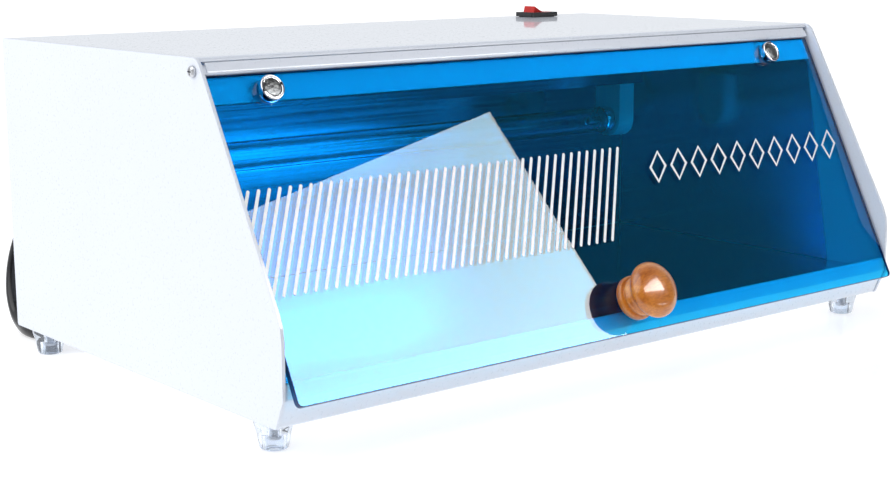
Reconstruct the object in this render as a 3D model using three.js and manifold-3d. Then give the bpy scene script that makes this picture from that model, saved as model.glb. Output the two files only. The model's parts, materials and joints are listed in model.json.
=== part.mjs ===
// Salon UV tool sterilizer: a folded-steel cabinet with a tilted acrylic door that swings up on two
// pivot screws, a germicidal tube under the cover, a rocker switch on top and four clear feet.
// Millimetres. X runs left to right, Y from the front (-) to the back (+), Z up from the floor.
import * as THREE from "three";
import { mergeVertices } from "three/addons/utils/BufferGeometryUtils.js";
import Module from "manifold-3d";

const wasm = await Module();
wasm.setup();

// ---------------------------------------------------------------- driving dimensions

const GAP = 0.3; // clearance left between touching pieces
const WIDTH = 400; // outside width over the side panels
const BODY_H = 146.5; // side panel, bottom edge to top edge
const FOOT_H = 13; // the feet lift the panels off the floor
const KNEE_Y = -244; // front of the side panels below the knee
const SIDE_T = 1.5; // side panel sheet
const SHEET_T = 1; // every other folded sheet
const LINER_T = 0.8; // polished liner sheet
const MIDDLE_Y = 131.52; // back plane to the middle of the depth, knob and screw heads included

const INNER_X = WIDTH / 2 - SIDE_T; // inner face of the side panels
const COVER_X = INNER_X - GAP; // half width of everything that fits between them
const BACK_FACE = -1.3; // the back panel's outer face, inside the cover's rear flange
const SCREW_HOLE_R = 1.8; // clearance for the back panel's screws

// The door's plane: its face passes through DOOR_TOP and leans DOOR_LEAN from the vertical.
const DOOR_TOP = [-185.5, 139.16]; // y and z on the face, level with the hinge strip's lower edge
const DOOR_LEAN = Math.atan2(64, 125.8);
const DOOR_T = 3;
const DOOR_X = 196.5; // half width
const DOOR_LOWER = 143.2; // the acrylic's lower edge, down the face from DOOR_TOP
const CAP_DOWN = 8.8;
const CAP_X = { left: -167.5, right: 158.3 };
const KNOB_DOWN = 127.2;
const LEG_DOWN = 12.6; // the strip's leg runs this far down behind the acrylic
const HEADER_OUT = 1.45; // the hinge strip stands this far out of the acrylic's face
const PIVOT = [2.4, -1.3]; // the door's axis, up its face from DOOR_TOP and behind it
const KNUCKLE_R = 3.95; // the cover's lip is cut back this far from the axis
const ROLL_R = 3.7; // the strip's rolled top edge turns inside that cut
const STRIP_X = 195.2; // half widths of the hinge strip without and with its ears
const EAR_X = 196.7;

const FLOOR_Z = 13; // chamber floor, above the panels' bottom edge
const LINER_Y = -40; // the polished back liner hides a service space for the wiring
const LAMP_Y = -80; // tube axis
const LAMP_Z = 87;
const TUBE_R = 7.75;
const TUBE_END = 144.2; // half length over the cap faces of an 8 W T5 tube

const FOOT_X = 190.5;
const FOOT_Y = { front: -222.5, back: -16.5 };
const FOOT_R = 8.5;

const SWITCH = { x: 145, y: -18 };
const GLAND = { x: -165, z: 58 }; // z above the panels' bottom edge

const CORD_R = 3;
const COIL = { x: -85, y: 183, mid: 36, lift: 1.2 }; // centre on the floor, mean radius of its turns
const PLUG_TURN = Math.PI / 6; // the plug's direction, round from +X

// ---------------------------------------------------------------- materials

const finish = (color, roughness, metalness = 0) =>
  new THREE.MeshStandardMaterial({ color, roughness, metalness });

const WHITE = finish(0xeef1f8, 0.3);
const POLISHED = finish(0xc9ccd0, 0.12, 1);
const CHROME = finish(0xd8d8da, 0.08, 1);
const STEEL = finish(0xb4b6ba, 0.3, 1);
const ACRYLIC = finish(0x0a6fd6, 0.05);
const WOOD = finish(0xb9742f, 0.25);
const CLEAR_RUBBER = finish(0xb9c4d2, 0.25);
const BLACK = finish(0x141518, 0.4);
const RED = finish(0xd81f1a, 0.3);
const CREAM = finish(0xe8e6df, 0.45);
const GLASS = finish(0xdfe9f2, 0.03);
const BRASS = finish(0xc9a253, 0.3, 1);
const LEAD = finish(0x17181b, 0.35);

// ---------------------------------------------------------------- solids and shapes

function toSolid(geometry) {
  const bare = geometry.clone();
  bare.deleteAttribute("normal");
  bare.deleteAttribute("uv");
  const merged = mergeVertices(bare, 1e-4);
  return new wasm.Manifold(
    new wasm.Mesh({
      numProp: 3,
      vertProperties: merged.attributes.position.array,
      triVerts: new Uint32Array(merged.index.array),
    }),
  );
}

function toGeometry(solid) {
  const mesh = solid.getMesh();
  const geometry = new THREE.BufferGeometry();
  geometry.setAttribute("position", new THREE.BufferAttribute(mesh.vertProperties, 3));
  geometry.setIndex(new THREE.BufferAttribute(mesh.triVerts, 1));
  geometry.computeVertexNormals();
  return geometry;
}

const join = (first, ...others) =>
  toGeometry(others.reduce((body, other) => body.add(toSolid(other)), toSolid(first)));
const cut = (first, ...tools) =>
  toGeometry(tools.reduce((body, tool) => body.subtract(toSolid(tool)), toSolid(first)));

const box = (x0, x1, y0, y1, z0, z1) =>
  new THREE.BoxGeometry(x1 - x0, y1 - y0, z1 - z0).translate(
    (x0 + x1) / 2,
    (y0 + y1) / 2,
    (z0 + z1) / 2,
  );

// Corners [u, v, radius] become an outline whose rounded corners are arcs of a few chords.
function rounded(corners, closed = true, chord = 0.35) {
  const points = [];
  corners.forEach(([u, v, radius = 0], i) => {
    const here = new THREE.Vector2(u, v);
    if (!radius || (!closed && (i === 0 || i === corners.length - 1))) {
      points.push(here);
      return;
    }
    const [bu, bv] = corners.at(i - 1);
    const [au, av] = corners[(i + 1) % corners.length];
    const back = new THREE.Vector2(bu, bv).sub(here).normalize();
    const ahead = new THREE.Vector2(au, av).sub(here).normalize();
    const half = Math.acos(THREE.MathUtils.clamp(back.dot(ahead), -1, 1)) / 2;
    const centre = back.clone().add(ahead).normalize().multiplyScalar(radius / Math.sin(half)).add(here);
    const from = here.clone().addScaledVector(back, radius / Math.tan(half)).sub(centre);
    const turn = Math.PI - 2 * half;
    const way = Math.sign(back.cross(ahead)) || 1;
    const steps = Math.max(2, Math.ceil(turn / chord));
    for (let k = 0; k <= steps; k += 1) {
      const angle = (-way * turn * k) / steps;
      points.push(from.clone().rotateAround(new THREE.Vector2(), angle).add(centre));
    }
  });
  return points;
}

// A sheet that follows the outer line of a fold, with its thickness on the left of the line's way.
function foldedOutline(corners, thickness) {
  const outer = rounded(corners, false);
  const inner = outer.map((point, i) => {
    const before = point.clone().sub(outer[Math.max(i - 1, 0)]);
    const after = outer[Math.min(i + 1, outer.length - 1)].clone().sub(point);
    if (!before.length()) before.copy(after);
    if (!after.length()) after.copy(before);
    const a = before.normalize();
    const b = after.normalize();
    const side = new THREE.Vector2(-a.y - b.y, a.x + b.x).normalize();
    return point.clone().addScaledVector(side, thickness / side.dot(new THREE.Vector2(-a.y, a.x)));
  });
  return [...outer, ...inner.reverse()];
}

// An outline in one plane, swept between two places along the axis across that plane.
const SWEEPS = {
  x: [new THREE.Vector3(0, 1, 0), new THREE.Vector3(0, 0, 1), new THREE.Vector3(1, 0, 0)],
  y: [new THREE.Vector3(0, 0, 1), new THREE.Vector3(1, 0, 0), new THREE.Vector3(0, 1, 0)],
  z: [new THREE.Vector3(1, 0, 0), new THREE.Vector3(0, 1, 0), new THREE.Vector3(0, 0, 1)],
};
function sweep(axis, outline, from, to) {
  const solid = new THREE.ExtrudeGeometry(new THREE.Shape(outline), {
    depth: to - from,
    bevelEnabled: false,
    steps: 1,
  });
  solid.translate(0, 0, from);
  return solid.applyMatrix4(new THREE.Matrix4().makeBasis(...SWEEPS[axis]));
}

// A turned piece on +Z: profile points are [radius, height], rising, from the axis back to the axis.
function turned(profile, segments = 24) {
  const points = profile.map(([r, h]) => new THREE.Vector2(r, h));
  return new THREE.LatheGeometry(points, segments).rotateX(Math.PI / 2);
}
const pillar = (radius, from, to, segments = 16) =>
  turned([[0, from], [radius, from], [radius, to], [0, to]], segments);
const tube = (outer, inner, from, to, segments = 28) =>
  turned([[inner, from], [outer, from], [outer, to], [inner, to], [inner, from]], segments);
const alongX = (geometry) => geometry.rotateY(Math.PI / 2); // +Z becomes +X
const alongBack = (geometry) => geometry.rotateX(-Math.PI / 2); // +Z becomes +Y

// A cross-head machine screw on +Z: its head stands above zero and its shank hangs below.
function screw(headR, headH, shankR, shankL) {
  const body = turned(
    [
      [0, -shankL],
      [shankR, -shankL],
      [shankR, 0],
      [headR, 0],
      [headR, headH * 0.45],
      [headR * 0.72, headH * 0.88],
      [0, headH],
    ],
    12,
  );
  const slot = headR * 0.26;
  const deep = headH * 0.45;
  return cut(
    body,
    box(-headR * 0.6, headR * 0.6, -slot / 2, slot / 2, deep, headH + 1),
    box(-slot / 2, slot / 2, -headR * 0.6, headR * 0.6, deep, headH + 1),
  );
}

// ---------------------------------------------------------------- scene graph

const model = new THREE.Group();
const cabinet = new THREE.Group(); // y is zero on the back plane, z on the panels' bottom edge
cabinet.position.set(0, MIDDLE_Y, FOOT_H);
model.add(cabinet);

const door = new THREE.Group(); // y up the door's face, z out of it, x as the cabinet's
door.position.set(0, ...DOOR_TOP);
door.rotation.x = Math.PI / 2 - DOOR_LEAN;
cabinet.add(door);

function place(parent, name, geometry, material) {
  const mesh = new THREE.Mesh(geometry, material);
  mesh.name = name;
  parent.add(mesh);
  return mesh;
}

const upDoor = new THREE.Vector2(Math.sin(DOOR_LEAN), Math.cos(DOOR_LEAN));
const outOfDoor = new THREE.Vector2(-upDoor.y, upDoor.x);
const pivot = new THREE.Vector2(...DOOR_TOP)
  .addScaledVector(upDoor, PIVOT[0])
  .addScaledVector(outOfDoor, PIVOT[1]);

const SIDES = [
  ["left", -1],
  ["right", 1],
];

// ---------------------------------------------------------------- casing

function sidePanels() {
  const outline = rounded([
    [0, 0, 1.5],
    [0, BODY_H, 2],
    [-186.4, BODY_H, 6.5],
    [KNEE_Y, 43, 24],
    [KNEE_Y, 12.8, 3],
    [-238.3, 0, 1],
  ]).reverse();
  for (const [name, side] of SIDES) {
    const [from, to] = side < 0 ? [-WIDTH / 2, -INNER_X] : [INNER_X, WIDTH / 2];
    const plate = sweep("x", outline, from, to);
    const hole = alongX(pillar(1.6, from - 1, to + 1)).translate(0, pivot.x, pivot.y);
    place(cabinet, `side_panel_${name}`, cut(plate, hole), WHITE);
  }
}

function topCover() {
  const front = new THREE.Vector2(-183.4, BODY_H);
  const lip = front.clone().addScaledVector(upDoor, -3.6);
  const fold = foldedOutline(
    [[0, BODY_H - 10], [0, BODY_H, 1.8], [front.x, front.y, 2], [lip.x, lip.y]],
    SHEET_T,
  );
  const sheet = sweep("x", fold, -COVER_X, COVER_X);
  const flanges = SIDES.map(([, side]) => {
    const [x0, x1] = side < 0 ? [-COVER_X, -COVER_X + SHEET_T] : [COVER_X - SHEET_T, COVER_X];
    return box(x0, x1, -172, -2.6, BODY_H - 8, BODY_H - SHEET_T / 2);
  });
  const knuckle = alongX(pillar(KNUCKLE_R, -WIDTH, WIDTH, 48)).translate(0, pivot.x, pivot.y);
  const switchHole = box(SWITCH.x - 9.6, SWITCH.x + 9.6, SWITCH.y - 6.5, SWITCH.y + 6.5, 140, 150);
  const screwHoles = BACK_SCREWS.filter(([, , z]) => z > 100).map(([, x, z]) =>
    alongBack(pillar(SCREW_HOLE_R, -2, 2)).translate(x, 0, z),
  );
  const cover = cut(join(sheet, ...flanges), knuckle, switchHole, ...screwHoles);
  place(cabinet, "top_cover", cover, WHITE);
}

const BACK_SCREWS = [
  ["upper_left", -180, 141],
  ["upper_right", 180, 141],
  ["lower_left", -180, 6.5],
  ["lower_right", 180, 6.5],
];

function backPanel() {
  const top = BODY_H - SHEET_T - GAP;
  const plate = box(-COVER_X, COVER_X, BACK_FACE - SHEET_T, BACK_FACE, GAP, top);
  const holes = BACK_SCREWS.map(([, x, z]) =>
    alongBack(pillar(SCREW_HOLE_R, -4, 2)).translate(x, 0, z),
  );
  const glandHole = alongBack(pillar(5.2, -4, 2, 28)).translate(GLAND.x, 0, GLAND.z);
  place(cabinet, "back_panel", cut(plate, ...holes, glandHole), WHITE);
  for (const [name, x, z] of BACK_SCREWS) {
    const seat = z > 100 ? GAP : GAP + BACK_FACE; // on the cover's flange above, on the panel below
    const mesh = place(cabinet, `back_screw_${name}`, screw(2.9, 1.7, 1.4, 6), STEEL);
    mesh.rotation.x = -Math.PI / 2;
    mesh.position.set(x, seat, z);
  }
}

function base() {
  const fold = foldedOutline(
    [
      [-2.6, 11.2],
      [-2.6, 0, 1.5],
      [-237.9, 0, 2],
      [-243, 12.8, 2],
      [-242.4, 19.5, 1.2],
      [-239.6, 19.5, 1.2],
      [-239.6, 14],
    ].reverse(),
    SHEET_T,
  );
  const sheet = sweep("x", fold, -COVER_X, COVER_X);
  const footHoles = FEET.map(([, x, y]) => pillar(2, -2, 3).translate(x, y, 0));
  const backHoles = BACK_SCREWS.filter(([, , z]) => z < 100).map(([, x, z]) =>
    alongBack(pillar(SCREW_HOLE_R, -5, 0)).translate(x, 0, z),
  );
  place(cabinet, "base_pan", cut(sheet, ...footHoles, ...backHoles), WHITE);

  const top = box(-COVER_X, COVER_X, -239.2, -9, FLOOR_Z - SHEET_T, FLOOR_Z);
  const skirts = SIDES.map(([, side]) => {
    const [x0, x1] = side < 0 ? [-COVER_X, -COVER_X + SHEET_T] : [COVER_X - SHEET_T, COVER_X];
    return box(x0, x1, -234, -9, SHEET_T + GAP, FLOOR_Z - SHEET_T / 2);
  });
  place(cabinet, "chamber_floor", join(top, ...skirts), POLISHED);
}

const LEAD_HOLE = { x: 172, z: 125 }; // where the lamp's lead passes through the back liner

function liner() {
  const half = COVER_X - 1.4;
  const top = BODY_H - SHEET_T - GAP;
  const back = box(-half, half, LINER_Y - LINER_T, LINER_Y, FLOOR_Z + GAP, top);
  const leadHole = alongBack(pillar(3.5, -50, -30)).translate(LEAD_HOLE.x, 0, LEAD_HOLE.z);
  place(cabinet, "liner_back", cut(back, leadHole), POLISHED);
  const wing = [
    [LINER_Y - LINER_T - GAP, FLOOR_Z + GAP],
    [LINER_Y - LINER_T - GAP, 136],
    [-180, 136],
    [-186, 122],
    [-205, FLOOR_Z + GAP],
  ].map(([y, z]) => new THREE.Vector2(y, z));
  for (const [name, side] of SIDES) {
    const [x0, x1] = side < 0 ? [-197.9, -197.1] : [197.1, 197.9];
    place(cabinet, `liner_${name}`, sweep("x", wing, x0, x1), POLISHED);
  }
}

const FEET = Object.entries(FOOT_Y).flatMap(([end, y]) =>
  SIDES.map(([name, side]) => [`${end}_${name}`, side * FOOT_X, y]),
);

function feet() {
  const foot = turned(
    [
      [3.6, -FOOT_H],
      [5.3, -FOOT_H],
      [6.2, -FOOT_H + 0.9],
      [7.4, -5.5],
      [FOOT_R, -1.6],
      [FOOT_R, -GAP],
      [2, -GAP],
      [2, -6.5],
      [3.6, -6.5],
      [3.6, -FOOT_H],
    ],
    20,
  );
  for (const [name, x, y] of FEET) {
    place(cabinet, `foot_${name}`, foot.clone(), CLEAR_RUBBER).position.set(x, y, 0);
    const bolt = place(cabinet, `foot_screw_${name}`, screw(3.1, 2, 1.5, 10), STEEL);
    bolt.rotation.x = Math.PI;
    bolt.position.set(x, y, -6.5 - GAP);
  }
}

// ---------------------------------------------------------------- door

function doorPanel() {
  const outline = rounded([
    [-DOOR_X, -DOOR_LOWER, 2.5],
    [DOOR_X, -DOOR_LOWER, 2.5],
    [DOOR_X, -2 * GAP],
    [-DOOR_X, -2 * GAP],
  ]);
  const sheet = sweep("z", outline, -DOOR_T, 0);
  place(door, "door_panel", cut(sheet, ...capHoles(), boltHole(0, KNOB_DOWN)), ACRYLIC);
}

const boltHole = (x, down) => pillar(2, -7, 3).translate(x, -down, 0);
const capHoles = () => Object.values(CAP_X).map((x) => boltHole(x, CAP_DOWN));

// One strip carries the acrylic. Its top edge is rolled round the axis under the cover's lip, its
// nose stands over the acrylic's top edge and its leg runs down behind. An ear at each end turns
// on a pivot screw.
function hingeStrip() {
  const behind = -DOOR_T - GAP;
  const rollEnd = Math.asin((HEADER_OUT - PIVOT[1]) / ROLL_R);
  const roll = [0.25, 0.5, 0.75, 1].map((share) => [
    PIVOT[0] + ROLL_R * Math.cos(rollEnd * share),
    PIVOT[1] + ROLL_R * Math.sin(rollEnd * share),
  ]);
  const fold = foldedOutline(
    [...roll, [-GAP, HEADER_OUT, 1.2], [-GAP, behind, 0.3], [-LEG_DOWN, behind]],
    SHEET_T,
  );
  const strip = sweep("x", fold, -STRIP_X, STRIP_X);
  const earFront = HEADER_OUT - 0.35;
  const earTop = PIVOT[0] + 2.5;
  const earOutline = rounded([
    [-GAP / 2, behind - SHEET_T],
    [earTop, behind - SHEET_T, 2.4],
    [earTop, earFront, 2.4],
    [-GAP / 2, earFront],
  ]);
  const ears = SIDES.map(([, side]) => {
    const [x0, x1] = side < 0 ? [-EAR_X, -STRIP_X + GAP] : [STRIP_X - GAP, EAR_X];
    return sweep("x", earOutline, x0, x1);
  });
  const axis = alongX(pillar(1.5, -WIDTH, WIDTH)).translate(0, ...PIVOT);
  place(door, "hinge_strip", cut(join(strip, ...ears), axis, ...capHoles()), WHITE);
  for (const [name, side] of SIDES) {
    const ring = alongX(tube(2.3, 1.5, EAR_X + GAP, COVER_X, 20));
    const spacer = place(door, `pivot_spacer_${name}`, ring, STEEL);
    if (side < 0) spacer.rotation.z = Math.PI;
    spacer.position.set(0, ...PIVOT);
  }
}

// Polished caps on studs clamp the acrylic to the strip's leg.
function doorCaps() {
  const behind = -DOOR_T - 2 * GAP - SHEET_T;
  for (const [name, x] of Object.entries(CAP_X)) {
    const cap = turned(
      [
        [0, -8.4],
        [1.5, -8.4],
        [1.5, GAP],
        [5.75, GAP],
        [5.75, 3.3],
        [5.5, 4],
        [4.9, 4.5],
        [4.3, 4.3],
        [0, 4.1],
      ],
      24,
    );
    place(door, `door_cap_${name}`, cap, CHROME).position.set(x, -CAP_DOWN, 0);
    const nut = tube(3, 1.8, behind - 2.4, behind, 6);
    place(door, `door_nut_${name}`, nut, STEEL).position.set(x, -CAP_DOWN, 0);
  }
}

function pivotScrews() {
  for (const [name, side] of SIDES) {
    const mesh = place(cabinet, `pivot_screw_${name}`, screw(2.5, 1.7, 1.2, 5.6), STEEL);
    mesh.rotation.y = (side * Math.PI) / 2;
    mesh.position.set(side * (WIDTH / 2 + GAP), pivot.x, pivot.y);
  }
}

function knob() {
  const headR = 13.6;
  const rimZ = 14.8; // the head is widest here, above the door's face
  const crown = 6.8; // height of its domed front over the rim
  const under = 5.5; // depth of its rounded back below the rim
  const head = [];
  for (let angle = -50; angle < 85; angle += 10) {
    const a = THREE.MathUtils.degToRad(angle);
    head.push([headR * Math.cos(a), rimZ + (angle < 0 ? under : crown) * Math.sin(a)]);
  }
  const wood = turned(
    [
      [0, 12],
      [1.9, 12],
      [1.9, GAP],
      [10.3, GAP],
      [10.9, 1],
      [10.9, 3],
      [10.3, 3.7],
      [9.4, 4],
      [9.3, 4.7],
      [9.8, 5.3],
      [9.7, 6.2],
      [8.9, 7],
      [8.3, 8.2],
      [8.3, 9.6],
      ...head,
      [0, rimZ + crown],
    ],
    28,
  );
  const knobMesh = place(door, "knob", wood, WOOD);
  knobMesh.position.y = -KNOB_DOWN;
  const washer = place(door, "knob_washer", tube(5, 2, -DOOR_T - GAP - 1, -DOOR_T - GAP), STEEL);
  washer.position.y = -KNOB_DOWN;
  const bolt = place(door, "knob_screw", screw(3.4, 2.2, 1.6, 14.5), STEEL);
  bolt.rotation.y = Math.PI;
  bolt.position.set(0, -KNOB_DOWN, -DOOR_T - 2 * GAP - 1);
}

// ---------------------------------------------------------------- lamp and its gear

const BATTEN = { x: 156, front: -98, back: -62, bottom: 109.5 };

function lampBatten() {
  const top = BODY_H - SHEET_T - GAP;
  const shell = box(-BATTEN.x, BATTEN.x, BATTEN.front, BATTEN.back, BATTEN.bottom, top);
  const hollow = box(
    -BATTEN.x + SHEET_T,
    BATTEN.x - SHEET_T,
    BATTEN.front + SHEET_T,
    BATTEN.back - SHEET_T,
    BATTEN.bottom + SHEET_T,
    top + 5,
  );
  const leadHole = alongX(pillar(3.5, 150, 160)).translate(0, -70, 128);
  place(cabinet, "lamp_batten", cut(shell, hollow, leadHole), POLISHED);
}

function lampholders() {
  const outline = rounded([
    [LAMP_Y - 10, BATTEN.bottom - GAP, 1],
    [LAMP_Y - 10, LAMP_Z - 10, 9.5],
    [LAMP_Y + 10, LAMP_Z - 10, 9.5],
    [LAMP_Y + 10, BATTEN.bottom - GAP, 1],
  ]);
  for (const [name, side] of SIDES) {
    const inner = TUBE_END + 0.5;
    const [x0, x1] = side < 0 ? [-inner - 12, -inner] : [inner, inner + 12];
    const [c0, c1] = side < 0 ? [x1 - 7.5, x1 + 1] : [x0 - 1, x0 + 7.5];
    const socket = alongX(pillar(5, c0, c1, 28)).translate(0, LAMP_Y, LAMP_Z);
    const entry = box(c0, c1, LAMP_Y - 1.7, LAMP_Y + 1.7, LAMP_Z - 12, LAMP_Z);
    place(cabinet, `lampholder_${name}`, cut(sweep("x", outline, x0, x1), socket, entry), CREAM);
  }
}

function uvTube() {
  const capStart = TUBE_END - 6.8;
  const glass = alongX(tube(TUBE_R, TUBE_R - 0.9, -capStart + GAP, capStart - GAP, 32));
  place(cabinet, "uv_tube", glass.translate(0, LAMP_Y, LAMP_Z), GLASS);
  for (const [name, side] of SIDES) {
    const body = pillar(8.2, capStart, TUBE_END, 32);
    const stem = pillar(2.4, capStart - 11, capStart + 1, 12);
    const pins = [-2.5, 2.5].map((y) => pillar(1.2, TUBE_END - 1, TUBE_END + 6.4, 12).translate(0, y, 0));
    const cap = alongX(join(body, stem, ...pins));
    const mesh = place(cabinet, `lamp_cap_${name}`, cap, STEEL);
    if (side < 0) mesh.rotation.z = Math.PI;
    mesh.position.set(0, LAMP_Y, LAMP_Z);
  }
}

function controlGear() {
  const floor = BATTEN.bottom + SHEET_T + GAP;
  const core = box(-132, -58, LAMP_Y - 14, LAMP_Y + 14, floor, floor + 24);
  const foot = box(-143, -47, LAMP_Y - 13, LAMP_Y + 13, floor, floor + 1.2);
  place(cabinet, "ballast", join(core, foot), STEEL);
  const middle = BATTEN.bottom + 14.5;
  place(cabinet, "starter", alongX(pillar(10.5, -20, 16, 24)).translate(0, LAMP_Y, middle), CREAM);
  place(
    cabinet,
    "starter_socket",
    box(16.3, 26, LAMP_Y - 12, LAMP_Y + 12, floor, floor + 25),
    CREAM,
  );
  const block = box(80, 110, LAMP_Y - 8, LAMP_Y + 8, floor, floor + 9);
  const wells = [85, 95, 105].map((x) => pillar(2.2, floor + 4, floor + 12, 12).translate(x, LAMP_Y, 0));
  place(cabinet, "terminal_block", cut(block, ...wells), CREAM);
}

// ---------------------------------------------------------------- rocker switch

const ROCKER_Z = BODY_H + 0.4; // its axis
const ROCKER_TILT = THREE.MathUtils.degToRad(14); // each way from level
const BEZEL = { x: 11, y: 7.8, height: 2.6 }; // half sizes, and how far it stands over the cover

function rockerSwitch() {
  const { x, y } = SWITCH;
  const seat = BODY_H + GAP;
  const bezelOutline = rounded([
    [x - BEZEL.x, y - BEZEL.y, 1.2],
    [x + BEZEL.x, y - BEZEL.y, 1.2],
    [x + BEZEL.x, y + BEZEL.y, 1.2],
    [x - BEZEL.x, y + BEZEL.y, 1.2],
  ]);
  const bezel = sweep("z", bezelOutline, seat, seat + BEZEL.height);
  const housing = box(x - 9.2, x + 9.2, y - 6.2, y + 6.2, BODY_H - 18, seat + 1);
  const pocket = box(x - 8.7, x + 8.7, y - 5.3, y + 5.3, ROCKER_Z - 6.5, seat + 5);
  place(cabinet, "switch_body", cut(join(bezel, housing), pocket), BLACK);

  // Along x and up z, about its axis: the top is a shallow V, so that each end stands up in turn.
  const outline = rounded([
    [-7.3, 4.9, 0.5],
    [-7.3, -1.5, 1],
    [0, -4.2, 3],
    [7.3, -1.5, 1],
    [7.3, 4.9, 0.5],
    [0, 2.8, 5],
  ]).map((p) => new THREE.Vector2(p.y, p.x));
  const rocker = place(cabinet, "switch_rocker", sweep("y", outline.reverse(), -4.9, 4.9), RED);
  rocker.rotation.y = ROCKER_TILT;
  rocker.position.set(x, y, ROCKER_Z);

  for (const [number, shift] of [[1, -5], [2, 5]]) {
    const blade = box(shift - 0.4, shift + 0.4, -2.4, 2.4, -7.5, 0);
    const mesh = place(cabinet, `switch_terminal_${number}`, blade, BRASS);
    mesh.position.set(x, y, BODY_H - 18 - GAP);
  }
}

// ---------------------------------------------------------------- wiring and cord

const curve = (points) =>
  new THREE.CatmullRomCurve3(
    points.map((point) => new THREE.Vector3(...point)),
    false,
    "centripetal",
  );

function wire(points, radius, sides, steps) {
  const section = Array.from({ length: sides }, (_, k) => {
    const angle = (2 * Math.PI * k) / sides;
    return new THREE.Vector2(radius * Math.cos(angle), radius * Math.sin(angle));
  });
  return new THREE.ExtrudeGeometry(new THREE.Shape(section), {
    extrudePath: curve(points),
    steps,
    bevelEnabled: false,
  });
}

// Inside the service space, in the cabinet's own coordinates.
function leads() {
  const supply = [
    [GLAND.x, -13.5, GLAND.z],
    [GLAND.x, -17, GLAND.z],
    [GLAND.x + 3, -22, GLAND.z + 0.5],
    [GLAND.x + 14, -26, GLAND.z + 2],
    [-100, -28, 62],
    [0, -29, 72],
    [90, -28, 88],
    [128, -24, 98],
    [139, -19, 109],
    [140, -18, 120.3],
  ];
  place(cabinet, "supply_lead", wire(supply, 1.6, 8, 24), LEAD);
  const lamp = [
    [150, -18, 120.3],
    [151, -19, 112],
    [160, -23, 107],
    [169, -29, 113],
    [LEAD_HOLE.x, -36, 122],
    [LEAD_HOLE.x, -44, LEAD_HOLE.z + 0.5],
    [171, -56, 127],
    [165, -67, 128],
    [156, -70, 128],
    [140, -72, 125],
    [122, -78, 118],
    [111, -80, 115.4],
  ];
  place(cabinet, "lamp_lead", wire(lamp, 1.5, 8, 24), LEAD);
}

// The strain relief snaps into the back panel. Its axis runs out of the panel.
function gland() {
  const grip = turned(
    [
      [CORD_R + GAP, -5],
      [6.4, -5],
      [6.4, -SHEET_T - GAP],
      [4.9, -SHEET_T - GAP],
      [4.9, GAP],
      [7.2, GAP],
      [7.2, 2.6],
      [5.4, 3.4],
      [4.1, 28],
      [CORD_R + GAP, 28],
      [CORD_R + GAP, -5],
    ],
    24,
  );
  const mesh = place(cabinet, "cord_gland", alongBack(grip), BLACK);
  mesh.position.set(GLAND.x, BACK_FACE, GLAND.z);
}

// Everything below lies in the whole object's coordinates, with the floor at z = 0.
function cord() {
  const exit = MIDDLE_Y + BACK_FACE;
  const lying = CORD_R + 0.15;
  const route = [
    [GLAND.x, exit - 11.8, FOOT_H + GLAND.z],
    [GLAND.x, exit, FOOT_H + GLAND.z],
    [GLAND.x, exit + 13, FOOT_H + GLAND.z],
    [GLAND.x, exit + 25, FOOT_H + GLAND.z],
    [-165.8, 169, 69],
    [-168, 180.2, 61.2],
    [-171.6, 187, 47.6],
    [-175.2, 189, 33],
    [-178.2, 185.8, 18.8],
    [-180.6, 176.8, 8.4],
    [-182.8, 164.5, 3.9],
    [-184.4, 152, lying],
    [-181.8, 139.6, lying],
    [-174.4, 130, lying],
    [-163.5, 124.6, lying],
    [-151.5, 124.6, lying],
    [-140, 128.4, lying],
    [-129.5, 133.6, lying],
    [-119.5, 138, 3.5],
    [COIL.x - 24.6, COIL.y - COIL.mid - 2 * CORD_R, 4.1],
  ];
  place(model, "mains_cord", wire(route, CORD_R, 10, 36), LEAD);
}

// Three turns side by side and two high, held by a tie.
function coil() {
  const half = 3 * CORD_R + GAP;
  const [inner, outer] = [COIL.mid - half, COIL.mid + half];
  const height = 4 * CORD_R + GAP;
  const ring = tube(outer, inner, COIL.lift, COIL.lift + height, 48);
  place(model, "cord_coil", ring, LEAD).position.set(COIL.x, COIL.y, 0);

  const strap = 0.8;
  const width = 4;
  const [x0, x1] = [inner - 0.7, outer + GAP];
  const [z0, z1] = [COIL.lift - GAP, COIL.lift + height + GAP];
  const tie = cut(
    box(x0 - strap, x1 + strap, -width, width, z0 - strap, z1 + strap),
    box(x0, x1, -width - 1, width + 1, z0, z1),
  );
  const mesh = place(model, "cord_tie", tie, BLACK);
  mesh.rotation.z = THREE.MathUtils.degToRad(100);
  mesh.position.set(COIL.x, COIL.y, 0);
}

function plug() {
  const away = new THREE.Vector3(Math.cos(PLUG_TURN), Math.sin(PLUG_TURN), 0);
  const turn = COIL.mid + 2 * CORD_R; // the outermost turn, which runs straight on into the plug
  const start = new THREE.Vector3(COIL.x, COIL.y, 7.2);
  start.add(new THREE.Vector3(away.y, -away.x, 0).multiplyScalar(turn));
  start.addScaledVector(away, 25);

  const relief = alongX(turned([[0, 0], [4, 0], [5.4, 26], [0, 26]], 20));
  const outline = rounded([
    [24, -7, 2],
    [34, -12.8, 5],
    [56, -12.8, 2],
    [60, -11, 2],
    [60, 11, 2],
    [56, 12.8, 2],
    [34, 12.8, 5],
    [24, 7, 2],
  ]);
  const body = sweep("z", outline, -6.8, 6.8);
  const bore = alongX(pillar(CORD_R + GAP, -1, 12));
  const sockets = [-9.5, 9.5].map((y) => alongX(pillar(2.3, 51, 62)).translate(0, y, 0));
  const shell = place(model, "plug_body", cut(join(body, relief), bore, ...sockets), BLACK);
  shell.rotation.z = PLUG_TURN;
  shell.position.copy(start);
  for (const [number, y] of [[1, -9.5], [2, 9.5]]) {
    const pin = turned([[0, 0], [2, 0], [2, 26.4], [1.5, 27.8], [0, 28.3]], 16);
    const mesh = place(model, `plug_pin_${number}`, alongX(pin).translate(51 + GAP, y, 0), BRASS);
    mesh.rotation.z = PLUG_TURN;
    mesh.position.copy(start);
  }
}

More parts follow.
